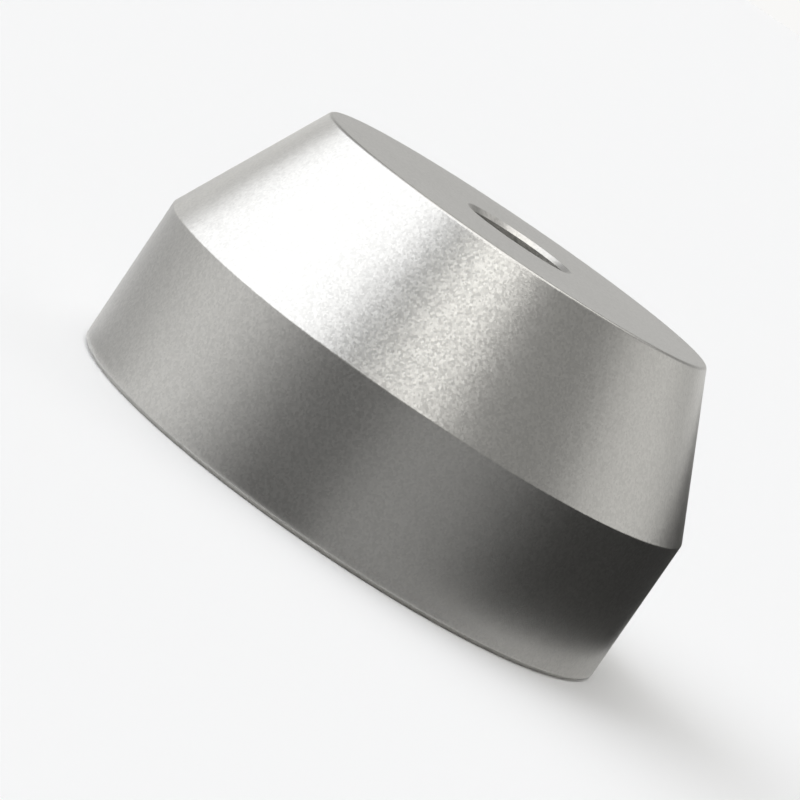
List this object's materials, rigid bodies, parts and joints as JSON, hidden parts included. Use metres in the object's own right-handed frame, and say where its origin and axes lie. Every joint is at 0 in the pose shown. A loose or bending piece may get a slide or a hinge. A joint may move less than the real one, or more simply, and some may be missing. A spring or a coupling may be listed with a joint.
{
  "type": "record spindle adapter",
  "caption": "Turned metal adapter with a straight land and a tapered upper half, which centres a record with a large hole on a turntable's thin spindle.",
  "frame": {"origin": "centre of the base, where the adapter stands on the platter", "axes": "+Z along the turning axis, from the base to the top face; X and Y lie in the base and may be turned freely"},
  "size_m": [0.038, 0.038, 0.02],
  "materials": {
    "satin_aluminium": "bead-blasted and clear anodised to a fine satin, with the edges lightly broken"
  },
  "bodies": {
    "root": {"adapter_body": "satin_aluminium"}
  },
  "joints": []
}
